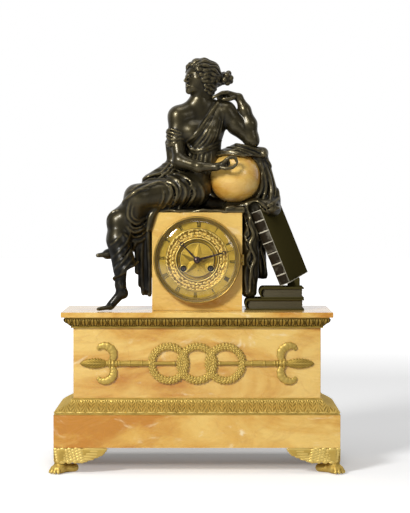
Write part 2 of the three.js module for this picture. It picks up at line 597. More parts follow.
// Wheels, leaves and arbors. A wheel's gap, and a pinion's leaf, face the given direction.
const turnTo = (from, to) => Math.atan2(to[1] - from[1], to[0] - from[0]);
function wheelShape(teeth, pitchRadius, module, gapAngle) {
  const points = [];
  const pitch = (2 * Math.PI) / teeth;
  const root = pitchRadius - 1.7 * module;
  const tip = pitchRadius + 0.7 * module;
  for (let i = 0; i < teeth; i++) {
    const gap = gapAngle + i * pitch;
    points.push([root * Math.cos(gap), root * Math.sin(gap)]);
    points.push([tip * Math.cos(gap + pitch / 2), tip * Math.sin(gap + pitch / 2)]);
  }
  return outline(points);
}
function pinionShape(leaves, pitchRadius, module, leafAngle) {
  const points = [];
  const pitch = (2 * Math.PI) / leaves;
  const root = pitchRadius - 1.25 * module;
  const tip = pitchRadius + 0.75 * module;
  for (let i = 0; i < leaves; i++) {
    const leaf = leafAngle + i * pitch;
    points.push([tip * Math.cos(leaf), tip * Math.sin(leaf)]);
    points.push([root * Math.cos(leaf + pitch / 2), root * Math.sin(leaf + pitch / 2)]);
  }
  return outline(points);
}
const MESH_SLACK = 0.12; // extra centre distance, in modules
const apart = (teeth, leaves, module) => ((teeth + leaves) / 2 + MESH_SLACK) * module;

// Arbor places in the plates, [x, up from the dial's centre]
const place = (from, angle, distance) =>
  [from[0] + distance * Math.cos(angle), from[1] + distance * Math.sin(angle)];
// Where two circles meet, on the left of the line from the first centre to the second
function meet(a, ra, b, rb) {
  const span = Math.hypot(b[0] - a[0], b[1] - a[1]);
  const along = (ra * ra - rb * rb + span * span) / (2 * span);
  const off = Math.sqrt(ra * ra - along * along);
  const [ux, uy] = [(b[0] - a[0]) / span, (b[1] - a[1]) / span];
  return [a[0] + along * ux - off * uy, a[1] + along * uy + off * ux];
}
const greatDistance = apart(GREAT_TEETH, INTERMEDIATE_LEAVES, GREAT_MODULE);
const centreAt = [0, 0];
const goingAt = [WINDING_X, -WINDING_DROP];
const strikeAt = [-WINDING_X, -WINDING_DROP];
const intermediateAt =
  meet(centreAt, apart(INTERMEDIATE_TEETH, CENTRE_LEAVES, INTERMEDIATE_MODULE), goingAt, greatDistance);
const ESCAPE_UP = 22;
const escapeAt = [0, ESCAPE_UP];
const trainDistance = apart(CENTRE_TEETH, THIRD_LEAVES, TRAIN_MODULE);
const thirdAt = meet(centreAt, trainDistance, escapeAt, apart(THIRD_TEETH, ESCAPE_LEAVES, TRAIN_MODULE));
const minuteAt = [0, apart(MINUTE_TEETH, CANNON_LEAVES, MOTION_MODULE)];
const hourModule = minuteAt[1] / ((HOUR_TEETH + MINUTE_LEAVES) / 2 + MESH_SLACK);
const countAt = place(strikeAt, THREE.MathUtils.degToRad(106), greatDistance);
const pinAt = place(countAt, THREE.MathUtils.degToRad(44), apart(COUNT_TEETH, PIN_LEAVES, STRIKE_MODULE));
const warningAt =
  place(pinAt, THREE.MathUtils.degToRad(73), apart(PIN_TEETH, WARNING_LEAVES, STRIKE_MODULE));
const flyAt =
  place(warningAt, THREE.MathUtils.degToRad(163), apart(WARNING_TEETH, FLY_LEAVES, STRIKE_MODULE));
const anchorAt = [0, PLATE_RADIUS - PENDULUM_DROP];
const hammerAt = [-0.698 * PLATE_RADIUS, 0.512 * PLATE_RADIUS];

// Depths, from the front plate's back face, as shares of the room between the plates
const plateBack = frontPlateY + PLATE_THICKNESS;
const backPlateY = plateBack + PLATE_SPACING;
const backPlateEnd = backPlateY + PLATE_THICKNESS;
const greatY = plateBack + 2;
const drumY = greatY + WHEEL_THICKNESS + 1;
const depth = (share) => plateBack + share * PLATE_SPACING;
const intermediateY = depth(0.816);
const centreWheelY = intermediateY + 3.6;
const thirdWheelY = depth(0.474);
const escapeWheelY = depth(0.684);
const pinWheelY = depth(0.368);
const warningWheelY = depth(0.237);

function wheel(at, teeth, module, towards, y) {
  return plate(wheelShape(teeth, (teeth * module) / 2, module, turnTo(at, towards)), y,
    y + WHEEL_THICKNESS, at[0], dialZ + at[1]);
}
function pinion(at, leaves, module, towards, y0, y1) {
  return plate(pinionShape(leaves, (leaves * module) / 2, module, turnTo(at, towards)), y0, y1, at[0],
    dialZ + at[1]);
}
// Leaves a little longer than the wheel they meet is thick
const leavesAt = (at, leaves, module, towards, y) =>
  pinion(at, leaves, module, towards, y - (PINION_LENGTH - WHEEL_THICKNESS) / 2,
    y + (PINION_LENGTH + WHEEL_THICKNESS) / 2);
// Arbor between the plates with a pivot in each
function arbor(at, radius) {
  const z = dialZ + at[1];
  const shaft = barY(radius, at[0], z, plateBack + CLEAR, backPlateY - CLEAR, 8);
  const pivots = barY(PIVOT_SHARE * radius, at[0], z, frontPlateY, backPlateEnd, 8);
  return join(shaft, pivots);
}
// Arbor that passes through the back plate and ends at y1
function longArbor(at, radius, y1) {
  const z = dialZ + at[1];
  const shaft = barY(radius, at[0], z, plateBack + CLEAR, y1, 8);
  const pivot = barY(PIVOT_SHARE * radius, at[0], z, frontPlateY, plateBack + 2, 8);
  return join(shaft, pivot);
}
const bore = (at, radius, y0, y1, sides = 8) => barY(radius, at[0], dialZ + at[1], y0, y1, sides);

// Plates: the front one carries the pillars, and both are bored for the pivots
const pillarAngles = [40, 152, 250, 290];
const pillars = pillarAngles.map((degrees) => {
  const angle = THREE.MathUtils.degToRad(degrees);
  const radius = PLATE_RADIUS - PILLAR_RADIUS - 0.5;
  return barY(PILLAR_RADIUS, radius * Math.cos(angle), dialZ + radius * Math.sin(angle),
    frontPlateY + 0.5, backPlateY - BED, 8);
});
const pivoted = [
  [intermediateAt, ARBOR_RADIUS], [thirdAt, FINE_ARBOR_RADIUS], [escapeAt, FINE_ARBOR_RADIUS],
  [pinAt, MIDDLE_ARBOR_RADIUS], [warningAt, MIDDLE_ARBOR_RADIUS], [flyAt, FINE_ARBOR_RADIUS],
];
const passing = [[countAt, ARBOR_RADIUS], [anchorAt, ARBOR_RADIUS], [hammerAt, ARBOR_RADIUS]];
const pivotHole = ([at, radius], y) =>
  bore(at, PIVOT_SHARE * radius + PIVOT_RUN, y - 1, y + PLATE_THICKNESS + 1);
const wideHole = ([at, radius], y) => bore(at, radius + RUN, y - 1, y + PLATE_THICKNESS + 1);
const windingPivots = [[goingAt, ARBOR_RADIUS], [strikeAt, ARBOR_RADIUS]];
const throughFront = [
  ...[...pivoted, ...passing].map((hole) => pivotHole(hole, frontPlateY)),
  wideHole([centreAt, ARBOR_RADIUS], frontPlateY),
  ...[goingAt, strikeAt].map((at) => wideHole([at, WINDING_RADIUS], frontPlateY)),
];
const throughBack = [
  ...[...pivoted, ...windingPivots, [centreAt, ARBOR_RADIUS]].map((hole) => pivotHole(hole, backPlateY)),
  ...passing.map((hole) => wideHole(hole, backPlateY)),
];
const minuteStud = barY(1, minuteAt[0], dialZ + minuteAt[1], frontPlateY - 6, frontPlateY + 0.5, 8);
const frontDisc = cut(barY(PLATE_RADIUS, 0, dialZ, frontPlateY, plateBack, 24), ...throughFront);
add("front_plate", join(frontDisc, minuteStud, ...pillars), brass);
add("back_plate", cut(barY(PLATE_RADIUS, 0, dialZ, backPlateY, backPlateEnd, 24), ...throughBack), brass);

// Barrels with their great wheels, and the winding arbors that turn inside them
function barrel(at, pinionAt) {
  const drum =
    barY(DRUM_RADIUS, at[0], dialZ + at[1], greatY + WHEEL_THICKNESS - 0.2, drumY + DRUM_LENGTH, 16);
  const toothed = wheel(at, GREAT_TEETH, GREAT_MODULE, pinionAt, greatY);
  return cut(join(drum, toothed), bore(at, WINDING_RADIUS + RUN, greatY - 1, drumY + DRUM_LENGTH + 1, 8));
}
function windingArbor(at) {
  const z = dialZ + at[1];
  const shaft = barY(WINDING_RADIUS, at[0], z, frontPlateY - 2, backPlateY - CLEAR, 8);
  const pivot = barY(PIVOT_SHARE * ARBOR_RADIUS, at[0], z, backPlateY - 1, backPlateEnd, 8);
  const square = barY(WINDING_RADIUS, at[0], z, dialFront - 1, frontPlateY - 1, 4);
  return join(shaft, pivot, square);
}
add("going_barrel", barrel(goingAt, intermediateAt), brass);
add("strike_barrel", barrel(strikeAt, countAt), brass);
add("going_winding_arbor", windingArbor(goingAt), steel);
add("strike_winding_arbor", windingArbor(strikeAt), steel);

// Going train
add("intermediate_wheel", join(
  arbor(intermediateAt, ARBOR_RADIUS),
  leavesAt(intermediateAt, INTERMEDIATE_LEAVES, GREAT_MODULE, goingAt, greatY),
  wheel(intermediateAt, INTERMEDIATE_TEETH, INTERMEDIATE_MODULE, centreAt, intermediateY)), brass);
const cannonFront = dialFront - 6;
const centreShaft = barY(ARBOR_RADIUS, 0, dialZ, cannonFront - 3, backPlateY - CLEAR, 8);
const centrePivot = barY(PIVOT_SHARE * ARBOR_RADIUS, 0, dialZ, backPlateY - 2, backPlateEnd, 8);
add("centre_wheel", join(
  centreShaft, centrePivot,
  leavesAt(centreAt, CENTRE_LEAVES, INTERMEDIATE_MODULE, intermediateAt, intermediateY),
  wheel(centreAt, CENTRE_TEETH, TRAIN_MODULE, thirdAt, centreWheelY)), brass);
add("third_wheel", join(
  arbor(thirdAt, FINE_ARBOR_RADIUS), leavesAt(thirdAt, THIRD_LEAVES, TRAIN_MODULE, centreAt, centreWheelY),
  wheel(thirdAt, THIRD_TEETH, TRAIN_MODULE, escapeAt, thirdWheelY)), brass);
function escapeShape() {
  const points = [];
  for (let i = 0; i < ESCAPE_TEETH; i++) {
    const angle = (2 * Math.PI * i) / ESCAPE_TEETH;
    const lean = (2 * Math.PI * 0.3) / ESCAPE_TEETH;
    points.push([0.84 * ESCAPE_RADIUS * Math.cos(angle), 0.84 * ESCAPE_RADIUS * Math.sin(angle)]);
    points.push([ESCAPE_RADIUS * Math.cos(angle + lean), ESCAPE_RADIUS * Math.sin(angle + lean)]);
  }
  return outline(points);
}
add("escape_wheel", join(
  arbor(escapeAt, FINE_ARBOR_RADIUS), leavesAt(escapeAt, ESCAPE_LEAVES, TRAIN_MODULE, thirdAt, thirdWheelY),
  plate(escapeShape(), escapeWheelY, escapeWheelY + WHEEL_THICKNESS, 0, dialZ + ESCAPE_UP)), brass);

// Motion work behind the dial, and the hands in front of it
const hourPipeOuter = 3.4;
const hourPipeInner = 2.5;
const cannonRadius = 2.1;
const motionY = frontPlateY - 2.6;
const hourWheelY = dialBack + 1.2;
const hourHandY = dialFront - GARLAND_HEIGHT - 1.4;
const minuteHandY = hourHandY - 2.4;
const cannonPipe = barY(cannonRadius, 0, dialZ, minuteHandY - 1.5, frontPlateY - CLEAR, 12);
const cannonLeaves =
  pinion(centreAt, CANNON_LEAVES, MOTION_MODULE, minuteAt, motionY - 0.6, frontPlateY - 0.6);
add("cannon_pinion",
  cut(join(cannonPipe, cannonLeaves),
    bore(centreAt, ARBOR_RADIUS + 1.5 * PIVOT_RUN, cannonFront - 9, backPlateEnd)), brass);
const minuteWheelY = motionY;
const minuteBody = join(
  wheel(minuteAt, MINUTE_TEETH, MOTION_MODULE, centreAt, minuteWheelY),
  pinion(minuteAt, MINUTE_LEAVES, hourModule, centreAt, hourWheelY - 0.4, minuteWheelY + 0.4));
add("minute_wheel", cut(minuteBody, bore(minuteAt, 1 + 1.5 * PIVOT_RUN, dialBack - 2, frontPlateY + 2)),
  brass);
const hourPipe = barY(hourPipeOuter, 0, dialZ, hourHandY - 0.2, hourWheelY + 0.4, 12);
const hourWheelBlank = join(hourPipe, wheel(centreAt, HOUR_TEETH, hourModule, minuteAt, hourWheelY));
add("hour_wheel", cut(hourWheelBlank, barY(hourPipeInner, 0, dialZ, hourHandY - 3, hourWheelY + 4, 12)),
  brass);

// A moon hand: a tapering blade, a ring and a point, with a boss round the pipe
function handShape(length, bossRadius, width, moon) {
  const ringAt = 0.72 * length;
  const shape = new THREE.Shape();
  shape.moveTo(-width, bossRadius * 0.8);
  shape.lineTo(-0.45 * width, ringAt - moon);
  shape.absarc(0, ringAt, moon, Math.PI + 1.2, Math.PI / 2 + 0.25, true);
  shape.lineTo(0, length);
  shape.absarc(0, ringAt, moon, Math.PI / 2 - 0.25, -1.2, true);
  shape.lineTo(width, bossRadius * 0.8);
  shape.closePath();
  return shape;
}
function hand(length, width, moon, degrees, y, holeRadius) {
  const bossRadius = holeRadius + 2;
  const blade = plate(handShape(length, bossRadius, width, moon), y - HAND_THICKNESS, y, 0, 0, 3);
  const boss =
    new THREE.CylinderGeometry(bossRadius, bossRadius, HAND_THICKNESS, 12).translate(0,
      y - HAND_THICKNESS / 2, 0);
  const hole = new THREE.CylinderGeometry(holeRadius, holeRadius, 8, 12).translate(0, y, 0);
  const moonHole =
    new THREE.CylinderGeometry(0.52 * moon, 0.52 * moon, 8, 12).translate(0, y,
      0.72 * length + 0.18 * moon);
  return cut(join(blade, boss), hole, moonHole).rotateY(THREE.MathUtils.degToRad(degrees)).translate(0,
    0, dialZ);
}
add("hour_hand",
  hand(HOUR_HAND_SHARE * dialRadius, 1.6, 3.4, HOUR_HAND_ANGLE, hourHandY + HAND_THICKNESS,
    hourPipeOuter + RUN), bluedSteel);
add("minute_hand",
  hand(MINUTE_HAND_SHARE * dialRadius, 1.5, 2.8, MINUTE_HAND_ANGLE, minuteHandY, cannonRadius + RUN),
  bluedSteel);

// Pallet anchor with its crutch, and the pendulum on its cock
const anchorZ = dialZ + anchorAt[1];
const palletGap = 0.9; // pallets stay clear of the wheel through the whole swing
const palletRadius = ESCAPE_RADIUS + palletGap;
const crutchY = backPlateEnd + 4.4;
const pendulumY = crutchY + 3.6;
function anchorShape() {
  const shape = new THREE.Shape();
  const drop = anchorAt[1] - ESCAPE_UP;
  const inner = (angle) => [palletRadius * Math.sin(angle), palletRadius * Math.cos(angle) - drop];
  const outer = (angle) =>
    [(palletRadius + 1.8) * Math.sin(angle), (palletRadius + 1.8) * Math.cos(angle) - drop];
  const span = 0.95;
  const steps = 6;
  shape.moveTo(-1.8, 1.8);
  for (let i = 0; i <= steps; i++) shape.lineTo(...outer(-0.25 - ((span - 0.25) * i) / steps));
  for (let i = 0; i <= 2 * steps; i++) shape.lineTo(...inner(-span + (span * i) / steps));
  for (let i = 0; i <= steps; i++) shape.lineTo(...outer(span - ((span - 0.25) * i) / steps));
  shape.lineTo(1.8, 1.8);
  shape.closePath();
  return shape;
}
const anchorArbor = longArbor(anchorAt, ARBOR_RADIUS, crutchY + 1);
const crutchLength = 30;
const crutchArm = box(-0.8, 0.8, crutchY, crutchY + 1.2, anchorZ - crutchLength, anchorZ);
const crutchFork = [-1, 1].map((side) => box(
  Math.min(side * (ROD_RADIUS + RUN), side * (ROD_RADIUS + 1.6)),
  Math.max(side * (ROD_RADIUS + RUN), side * (ROD_RADIUS + 1.6)),
  crutchY, pendulumY + ROD_RADIUS + 1, anchorZ - crutchLength - 1.5, anchorZ - crutchLength + 1.5));
const crutchFoot =
  box(-ROD_RADIUS - 1.6, ROD_RADIUS + 1.6, crutchY, crutchY + 1.2, anchorZ - crutchLength - 1.5,
  anchorZ - crutchLength + 1.5);
add("pallet_anchor", join(
  anchorArbor, plate(anchorShape(), escapeWheelY - 0.4, escapeWheelY + WHEEL_THICKNESS + 0.4, 0, anchorZ),
  crutchArm, crutchFoot, ...crutchFork), steel);
const cockReach = pendulumY + 2.5;
const cockFoot = box(-9, 9, backPlateEnd + BED, backPlateEnd + 2.5, anchorZ + 2, anchorZ + 9);
const cockArm = box(-4, 4, backPlateEnd + 1, cockReach, anchorZ + 4.2, anchorZ + 9);
const cockPin = barY(PIVOT_SHARE * ARBOR_RADIUS, 0, anchorZ, pendulumY - 1.9, cockReach, 8);
const cockCheek = box(-2.4, 2.4, pendulumY + 1.6, cockReach, anchorZ - 1.6, anchorZ + 5);
add("suspension_cock", join(cockFoot, cockArm, cockPin, cockCheek), brass);
const eye = cut(barY(2.6, 0, anchorZ, pendulumY - 1.1, pendulumY + 1.1, 10),
  barY(PIVOT_SHARE * ARBOR_RADIUS + PIVOT_RUN, 0, anchorZ, pendulumY - 4, pendulumY + 4, 8));
const pendulumLength = anchorZ - caseZ - PENDULUM_CLEAR - BOB_RADIUS - 1;
const rod = barZ(ROD_RADIUS, 0, pendulumY, anchorZ - pendulumLength - BOB_RADIUS - 1, anchorZ - 1.9, 8);
const bobZ = anchorZ - pendulumLength;
const bob = new THREE.LatheGeometry([
  [0, -BOB_THICKNESS / 2], [0.75 * BOB_RADIUS, -0.36 * BOB_THICKNESS], [BOB_RADIUS, -0.06 * BOB_THICKNESS],
  [BOB_RADIUS, 0.06 * BOB_THICKNESS], [0.75 * BOB_RADIUS, 0.36 * BOB_THICKNESS], [0, BOB_THICKNESS / 2],
].map(([radius, y]) => new THREE.Vector2(radius, y)), 14).translate(0, pendulumY, bobZ);
add("pendulum", join(eye, rod, bob), brass);

// Striking train: count wheel outside the back plate, pin wheel, warning wheel and fly
function countShape() {
  const points = [];
  const outer = 13;
  const rootRadius = 11.2;
  const hours = 12;
  let blows = 0;
  const total = (hours * (hours + 1)) / 2;
  const slope = (0.1 * 2 * Math.PI) / total;
  for (let hour = 1; hour <= hours; hour++) {
    const from = (2 * Math.PI * blows) / total;
    blows += hour;
    const to = (2 * Math.PI * (blows - 0.45)) / total;
    const next = (2 * Math.PI * blows) / total;
    const steps = Math.max(1, Math.round(hour / 4));
    for (let i = 0; i <= steps; i++) {
      const angle = from + ((to - from) * i) / steps;
      points.push([outer * Math.cos(angle), outer * Math.sin(angle)]);
    }
    for (const angle of [to + slope, next - slope]) points.push([rootRadius * Math.cos(angle),
      rootRadius * Math.sin(angle)]);
  }
  return outline(points);
}
const countY = backPlateEnd + 0.8;
add("count_wheel", join(
  longArbor(countAt, ARBOR_RADIUS, countY + WHEEL_THICKNESS),
  leavesAt(countAt, INTERMEDIATE_LEAVES, GREAT_MODULE, strikeAt, greatY),
  wheel(countAt, COUNT_TEETH, STRIKE_MODULE, pinAt, intermediateY),
  plate(countShape(), countY, countY + WHEEL_THICKNESS, countAt[0], dialZ + countAt[1])), brass);
const liftingPins = Array.from({ length: STRIKE_LIFTING_PINS }, (_, i) => {
  const [x, up] = place(pinAt, (2 * Math.PI * i) / STRIKE_LIFTING_PINS, 0.36 * PIN_TEETH * STRIKE_MODULE);
  return barY(0.6, x, dialZ + up, pinWheelY + 0.5, pinWheelY + 4, 4);
});
add("pin_wheel", join(
  arbor(pinAt, MIDDLE_ARBOR_RADIUS), leavesAt(pinAt, PIN_LEAVES, STRIKE_MODULE, countAt, intermediateY),
  wheel(pinAt, PIN_TEETH, STRIKE_MODULE, warningAt, pinWheelY), ...liftingPins), brass);
add("warning_wheel", join(
  arbor(warningAt, MIDDLE_ARBOR_RADIUS),
  leavesAt(warningAt, WARNING_LEAVES, STRIKE_MODULE, pinAt, pinWheelY),
  wheel(warningAt, WARNING_TEETH, STRIKE_MODULE, flyAt, warningWheelY)), brass);
const flyVane = 5.2;
add("fly", join(
  arbor(flyAt, FINE_ARBOR_RADIUS), leavesAt(flyAt, FLY_LEAVES, STRIKE_MODULE, warningAt, warningWheelY),
  box(flyAt[0] - flyVane, flyAt[0] + flyVane, pinWheelY + 7, pinWheelY + 19, dialZ + flyAt[1] - 0.5,
    dialZ + flyAt[1] + 0.5)),
brass);

// Bell on its stand behind the movement, and the hammer that strikes its rim
const bellRim = pendulumY + BOB_THICKNESS / 2 + 4;
const bellCrown = bellRim + BELL_DEPTH;
const bellWall = [];
for (let i = 0; i <= 5; i++) {
  const t = (Math.PI / 2) * (i / 5);
  bellWall.push([BELL_RADIUS * Math.cos(t), bellRim + BELL_DEPTH * Math.sin(t)]);
}
const bellInside = bellWall.slice(0, -1).reverse().map(([radius, y], i, all) => {
  const t = (Math.PI / 2) * ((all.length - 1 - i) / 5);
  return [(BELL_RADIUS - BELL_WALL) * Math.cos(t), bellRim + (BELL_DEPTH - BELL_WALL) * Math.sin(t)];
});
const bellBlank =
  turned([...bellWall, [0, bellCrown - BELL_WALL], ...bellInside, [BELL_RADIUS, bellRim]], 16);
const postRadius = 2;
add("bell", cut(bellBlank, barY(postRadius + RUN, 0, dialZ, bellRim, bellCrown + 2, 8)), bellMetal);
const standAt = [0.58 * PLATE_RADIUS, -0.675 * PLATE_RADIUS];
const standArmY = bellRim - 3;
const standPost = barY(2.4, standAt[0], dialZ + standAt[1], backPlateEnd + BED, standArmY + 2, 8);
const standReach = Math.hypot(standAt[0], standAt[1]);
const standArm = new THREE.BoxGeometry(standReach, 2, 4).rotateY(-Math.atan2(standAt[1], standAt[0]))
  .translate(standAt[0] / 2, standArmY + 1, dialZ + standAt[1] / 2);
const bellPost = barY(postRadius, 0, dialZ, standArmY, bellCrown + 0.5, 8);
const bellNut = barY(4, 0, dialZ, bellCrown + BED, bellCrown + 3, 6);
const bellShoulder = barY(4, 0, dialZ, standArmY, bellCrown - BELL_WALL - 1.2, 8);
add("bell_stand", join(standPost, standArm, bellPost, bellNut, bellShoulder), steel);
const hammerZ = dialZ + hammerAt[1];
const hammerHeadY = bellRim + 3;
const hammerRest = 0.9; // head off the bell's rim
const headOuter = 7;
const headInner = -BELL_RADIUS - hammerRest;
const tailAt = place(pinAt, turnTo(pinAt, hammerAt), 0.36 * PIN_TEETH * STRIKE_MODULE + 1.4);
const hammerArm = plate(
  outline([[hammerAt[0] - 1, hammerAt[1]], [hammerAt[0] + 1, hammerAt[1]], [headInner - 2.5, 0],
    [headInner - 4.5, 0]]),
  hammerHeadY - 1, hammerHeadY + 1);
const hammerHead =
  box(headInner - headOuter, headInner, hammerHeadY - 2.5, hammerHeadY + 2.5, dialZ - 2.5, dialZ + 2.5);
const hammerTail = plate(
  outline([[hammerAt[0] - 0.8, hammerAt[1] - 0.8], tailAt, [hammerAt[0] + 0.8, hammerAt[1] + 0.8]]),
  pinWheelY + 2.2, pinWheelY + 3.6);
add("hammer",
  join(longArbor(hammerAt, ARBOR_RADIUS, hammerHeadY + 2), hammerArm, hammerHead, hammerTail), steel);

// Cast surfaces: blended limbs sampled on a grid and skinned where the field changes sign
const blend = (a, b, reach) => {
  const h = Math.max(reach - Math.abs(a - b), 0) / reach;
  return Math.min(a, b) - (h * h * reach) / 4;
};
const ball = (centre, radius) => ([x, y, z]) =>
  Math.hypot(x - centre[0], y - centre[1], z - centre[2]) - radius;
// Distance to a limb from a to b that tapers from one radius to the other
function limb(a, b, radiusA, radiusB = radiusA) {
  const axis = [b[0] - a[0], b[1] - a[1], b[2] - a[2]];
  const length2 = axis[0] ** 2 + axis[1] ** 2 + axis[2] ** 2;
  return ([x, y, z]) => {
    const p = [x - a[0], y - a[1], z - a[2]];
    const along = length2 ? (p[0] * axis[0] + p[1] * axis[1] + p[2] * axis[2]) / length2 : 0;
    const t = Math.min(1, Math.max(0, along));
    return Math.hypot(p[0] - t * axis[0], p[1] - t * axis[1],
      p[2] - t * axis[2]) - unit * (radiusA + (radiusB - radiusA) * t);
  };
}
// Distance to a cushion-edged block
function pad(x0, x1, y0, y1, z0, z1, edge) {
  const middle = [(x0 + x1) / 2, (y0 + y1) / 2, (z0 + z1) / 2];
  const half = [(x1 - x0) / 2 - edge, (y1 - y0) / 2 - edge, (z1 - z0) / 2 - edge];
  return (p) => {
    const q = p.map((v, i) => Math.abs(v - middle[i]) - half[i]);
    return Math.hypot(...q.map((v) => Math.max(v, 0))) + Math.min(Math.max(...q), 0) - edge;
  };
}
const blended = (reach, parts) => (p) =>
  parts.map((part) => part(p)).reduce((a, b) => blend(a, b, reach * unit));
function skin(field, from, to, cell) {
  const low = from.map((v) => v - cell);
  const count = low.map((v, i) => Math.ceil((to[i] - v) / cell) + 2);
  const at = (i, j, k) => i + count[0] * (j + count[1] * k);
  const values = new Float32Array(count[0] * count[1] * count[2]);
  for (let k = 0; k < count[2]; k++) {
    for (let j = 0; j < count[1]; j++) {
      for (let i = 0; i < count[0]; i++) {
        values[at(i, j, k)] = field([low[0] + i * cell, low[1] + j * cell, low[2] + k * cell]);
      }
    }
  }
  const ends = [[1, 0, 0], [0, 1, 0], [0, 0, 1]];
  // Samples that touch only corner to corner are joined, so that every edge of the skin has two faces
  const fill = (spots) => {
    const inside = spots.map((spot) => values[spot] < 0);
    const half = inside.length / 2;
    const paired = inside.slice(0, half).every((v, n) => v === inside[inside.length - 1 - n]);
    const odd = inside.slice(0, half).filter((v) => v !== inside[0]).length;
    if (!paired || (odd !== 1 && odd !== half - 1) || odd === 0) return false;
    const open = spots.filter((spot) => values[spot] >= 0);
    values[open.reduce((a, b) => (values[b] < values[a] ? b : a))] = -0.05 * cell;
    return true;
  };
  for (let again = true; again; ) {
    again = false;
    for (let k = 0; k + 1 < count[2]; k++) {
      for (let j = 0; j + 1 < count[1]; j++) {
        for (let i = 0; i + 1 < count[0]; i++) {
          for (const axis of [0, 1, 2]) {
            const u = ends[(axis + 1) % 3];
            const v = ends[(axis + 2) % 3];
            const square = [[0, 0], [1, 0], [0, 1], [1, 1]].map(([a, b]) =>
              at(i + a * u[0] + b * v[0], j + a * u[1] + b * v[1], k + a * u[2] + b * v[2]));
            again = fill(square) || again;
          }
          const cube =
            Array.from({ length: 8 }, (_, n) => at(i + (n & 1), j + ((n >> 1) & 1), k + (n >> 2)));
          again = fill(cube) || again;
        }
      }
    }
  }
  const places = [];
  const vertex = new Map();
  for (let k = 0; k + 1 < count[2]; k++) {
    for (let j = 0; j + 1 < count[1]; j++) {
      for (let i = 0; i + 1 < count[0]; i++) {
        const sum = [0, 0, 0];
        let crossings = 0;
        for (const [axis, step] of ends.entries()) {
          for (let corner = 0; corner < 4; corner++) {
            const from = [i, j, k];
            from[(axis + 1) % 3] += corner & 1;
            from[(axis + 2) % 3] += corner >> 1;
            const a = values[at(...from)];
            const b = values[at(from[0] + step[0], from[1] + step[1], from[2] + step[2])];
            if (a < 0 === b < 0) continue;
            const t = a / (a - b);
            from.forEach((v, n) => (sum[n] += v + t * step[n]));
            crossings++;
          }
        }
        if (!crossings) continue;
        vertex.set(at(i, j, k), places.length / 3);
        places.push(...sum.map((v, n) => low[n] + (cell * v) / crossings));
      }
    }
  }
  const triangles = [];
  for (let k = 1; k + 1 < count[2]; k++) {
    for (let j = 1; j + 1 < count[1]; j++) {
      for (let i = 1; i + 1 < count[0]; i++) {
        const here = values[at(i, j, k)] < 0;
        for (const [axis, step] of ends.entries()) {
          const there = values[at(i + step[0], j + step[1], k + step[2])] < 0;
          if (here === there) continue;
          const u = ends[(axis + 1) % 3];
          const v = ends[(axis + 2) % 3];
          const cells = [[0, 0], [1, 0], [1, 1], [0, 1]].map(([a, b]) =>
            vertex.get(at(i - a * u[0] - b * v[0], j - a * u[1] - b * v[1], k - a * u[2] - b * v[2])));
          if (!here) cells.reverse();
          triangles.push(cells[0], cells[1], cells[2], cells[0], cells[2], cells[3]);
        }
      }
    }
  }
  const geometry = new THREE.BufferGeometry();
  geometry.setAttribute("position", new THREE.Float32BufferAttribute(places, 3));
  geometry.userData.closed = true;
  return geometry.setIndex(triangles);
}

// The figure's pose, [x, y, up] from the middle of the case's top edge, and its feet from the slab
const seat = ([x, y, up]) => [x * unit, y * unit, caseTop + up * unit];
const ground = ([x, y, up]) => [x * unit, y * unit, slabTop + up * unit];
const beside = (side, [out, y, up]) => [side * (halfCase + out * unit), y * unit, caseTop + up * unit];
const nearHip = seat([2, -4, 36]);
const farHip = seat([-16, 22, 27]);
const nearKnee = seat([-89, -34, 24]);
const farKnee = seat([-117, -20, -7]);
const nearCalf = seat([-105, -18, -22]);
const nearAnkle = seat([-121, -2, -59]);
const nearToes = seat([-143, -4, -61]);
const farCalf = seat([-117, -27, -40]);
const farAnkle = ground([-111, -40, 38]);
const farHeel = ground([-107, -40, 27]);
const farBall = ground([-126, -43, 7.5]);
const farToes = ground([-141, -45, 4]);
const waist = seat([10, 8, 76]);
const ribs = seat([6, 6, 112]);
const neckRoot = seat([7, 6, 147]);
const chin = seat([-9, -5, 181]);
const skull = seat([11, 4, 204]);
const bun = seat([44, 10, 198]);
const rightShoulder = seat([-29, -1, 137]);
const rightElbow = seat([-28, -18, 70]);
const rightWrist = seat([27, -38, 66]);
const rightFingers = seat([52, -34, 75]);
const leftShoulder = seat([37, 8, 142]);
const leftElbow = seat([86, 6, 107]);
const leftWrist = seat([65, 8, 169]);
const leftFingers = seat([30, 10, 171]);

